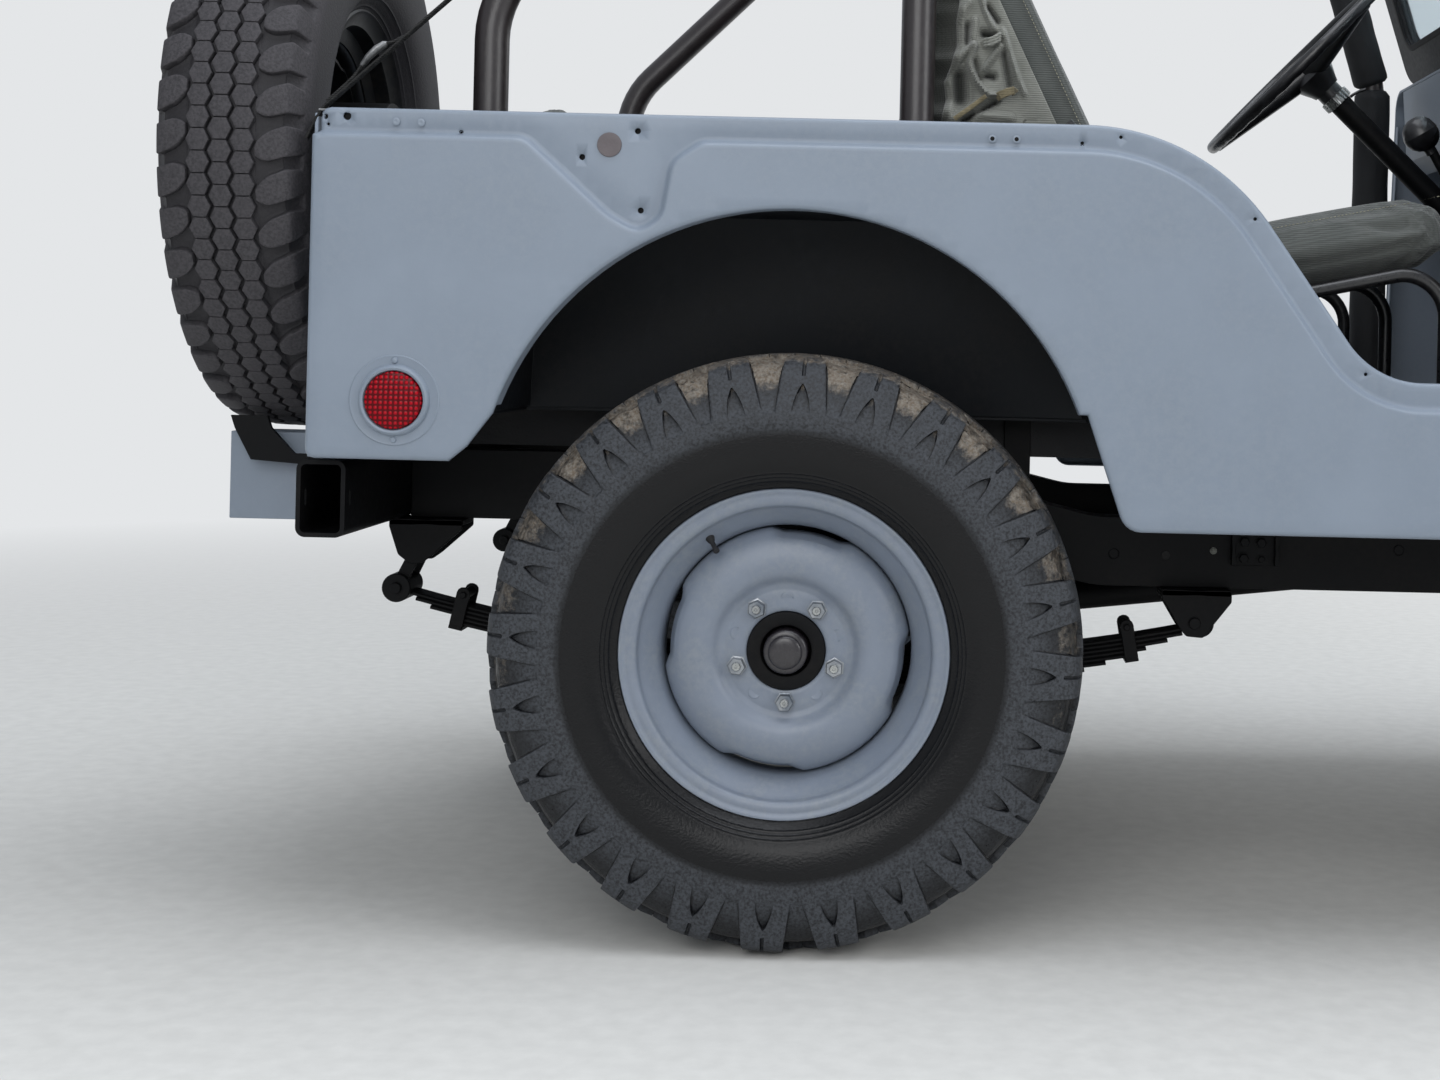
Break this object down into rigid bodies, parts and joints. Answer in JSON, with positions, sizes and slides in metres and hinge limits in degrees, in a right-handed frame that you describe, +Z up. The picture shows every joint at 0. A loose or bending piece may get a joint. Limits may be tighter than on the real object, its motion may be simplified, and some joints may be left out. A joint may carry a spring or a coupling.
{
  "type": "open army four-wheel-drive car",
  "caption": "Open military four-by-four car with roll cage, folding windscreen, hinged hood, steered front wheels and a rear-mounted spare wheel.",
  "frame": {"origin": "on the ground, half way along the vehicle and on its centre line", "axes": "+X forward, +Y towards the vehicle's left, +Z up"},
  "size_m": [3.526, 1.546, 1.895],
  "materials": {
    "body_paint": "satin blue-grey coach paint with light dust",
    "chassis_black": "satin black chassis paint, dusty",
    "machined_iron": "rough cast iron",
    "exhaust_steel": "aged steel tube",
    "wheel_paint": "satin blue-grey paint on pressed steel",
    "spare_wheel_black": "satin black paint on pressed steel",
    "tyre": "worn black tyre rubber with dried mud",
    "cage_paint": "dark brown-black paint on steel tube",
    "foam_sleeve": "matt black closed-cell foam",
    "canvas": "olive-grey cotton canvas",
    "tube_black": "semi-gloss black paint",
    "wheel_rim_plastic": "worn black hard plastic",
    "clear_glass": "clear flat safety glass",
    "lamp_glass": "fluted clear lamp glass over a bright bowl",
    "red_lens": "red prismatic plastic lens",
    "webbing": "black woven webbing"
  },
  "bodies": {
    "vehicle": {"side_panel_left": "body_paint", "side_panel_right": "body_paint", "wheel_boxes": "body_paint", "floor_pan": "body_paint", "rear_panel": "body_paint", "cowl": "body_paint", "dashboard": "body_paint", "front_fenders": "body_paint", "grille_panel": "body_paint", "bumperettes": "body_paint", "chassis_frame": "chassis_black", "rear_crossbar": "chassis_black", "front_bumper": "chassis_black", "leaf_springs": "chassis_black", "rear_axle": "chassis_black", "front_axle": "chassis_black", "shock_absorbers": "chassis_black", "propshafts": "chassis_black", "spare_carrier": "chassis_black", "steering_column": "chassis_black", "pedals_and_levers": "chassis_black", "radiator": "chassis_black", "engine": "machined_iron", "gearbox": "machined_iron", "exhaust": "exhaust_steel", "spare_wheel": "spare_wheel_black", "spare_tyre": "tyre", "roll_cage": "cage_paint", "cage_pads": "foam_sleeve", "front_cushions": "canvas", "front_backrests": "canvas", "rear_bench_pads": "canvas", "seat_frames": "tube_black", "rear_bench_frame": "tube_black", "front_lamps": "lamp_glass", "side_reflectors": "red_lens", "rear_lamps": "red_lens", "lashing_straps": "webbing"},
    "hood_panel": {"hood": "body_paint"},
    "windscreen": {"windscreen_frame": "tube_black", "windscreen_glass": "clear_glass"},
    "steering_wheel_body": {"steering_wheel": "wheel_rim_plastic"},
    "left_knuckle": {"knuckle_left": "machined_iron"},
    "right_knuckle": {"knuckle_right": "machined_iron"},
    "track_rod": {"tie_rod": "chassis_black"},
    "rear_left_wheel": {"tyre_rear_left": "tyre", "wheel_rear_left": "wheel_paint"},
    "rear_right_wheel": {"tyre_rear_right": "tyre", "wheel_rear_right": "wheel_paint"},
    "front_left_wheel": {"tyre_front_left": "tyre", "wheel_front_left": "wheel_paint"},
    "front_right_wheel": {"tyre_front_right": "tyre", "wheel_front_right": "wheel_paint"}
  },
  "joints": [
    {"name": "hood_hinge", "type": "hinge", "parent": "vehicle", "child": "hood_panel", "pos_m": [0.496, 0, 1.378], "axis": [0, -1, 0], "range_deg": [0, 80]},
    {"name": "windscreen_hinge", "type": "hinge", "parent": "vehicle", "child": "windscreen", "pos_m": [0.281, 0, 1.388], "axis": [0, -1, 0], "range_deg": [-105, 0]},
    {"name": "left_kingpin", "type": "hinge", "parent": "vehicle", "child": "left_knuckle", "pos_m": [1.15, 0.505, 0.406], "axis": [0, 0, 1], "range_deg": [-27, 27]},
    {"name": "right_kingpin", "type": "hinge", "parent": "vehicle", "child": "right_knuckle", "pos_m": [1.15, -0.505, 0.406], "axis": [0, 0, 1], "range_deg": [-28, 28]},
    {"name": "track_rod_end", "type": "hinge", "parent": "left_knuckle", "child": "track_rod", "pos_m": [1.022, 0.505, 0.295], "axis": [0, 0, 1], "range_deg": [-28, 28]},
    {"name": "steering_column_spin", "type": "hinge", "parent": "vehicle", "child": "steering_wheel_body", "pos_m": [-0.045, 0.355, 1.374], "axis": [-0.7193, 0, 0.6947], "range_deg": [-420, 420]},
    {"name": "rear_left_spin", "type": "hinge", "parent": "vehicle", "child": "rear_left_wheel", "pos_m": [-0.907, 0.6235, 0.406], "axis": [0, 1, 0], "continuous": true},
    {"name": "rear_right_spin", "type": "hinge", "parent": "vehicle", "child": "rear_right_wheel", "pos_m": [-0.907, -0.6235, 0.406], "axis": [0, 1, 0], "continuous": true},
    {"name": "front_left_spin", "type": "hinge", "parent": "left_knuckle", "child": "front_left_wheel", "pos_m": [1.15, 0.6235, 0.406], "axis": [0, 1, 0], "continuous": true},
    {"name": "front_right_spin", "type": "hinge", "parent": "right_knuckle", "child": "front_right_wheel", "pos_m": [1.15, -0.6235, 0.406], "axis": [0, 1, 0], "continuous": true}
  ],
  "couplings": [
    {"joint": "right_kingpin", "follows": "left_kingpin", "ratio": 1},
    {"joint": "track_rod_end", "follows": "left_kingpin", "ratio": -1},
    {"joint": "steering_column_spin", "follows": "left_kingpin", "ratio": 15}
  ]
}
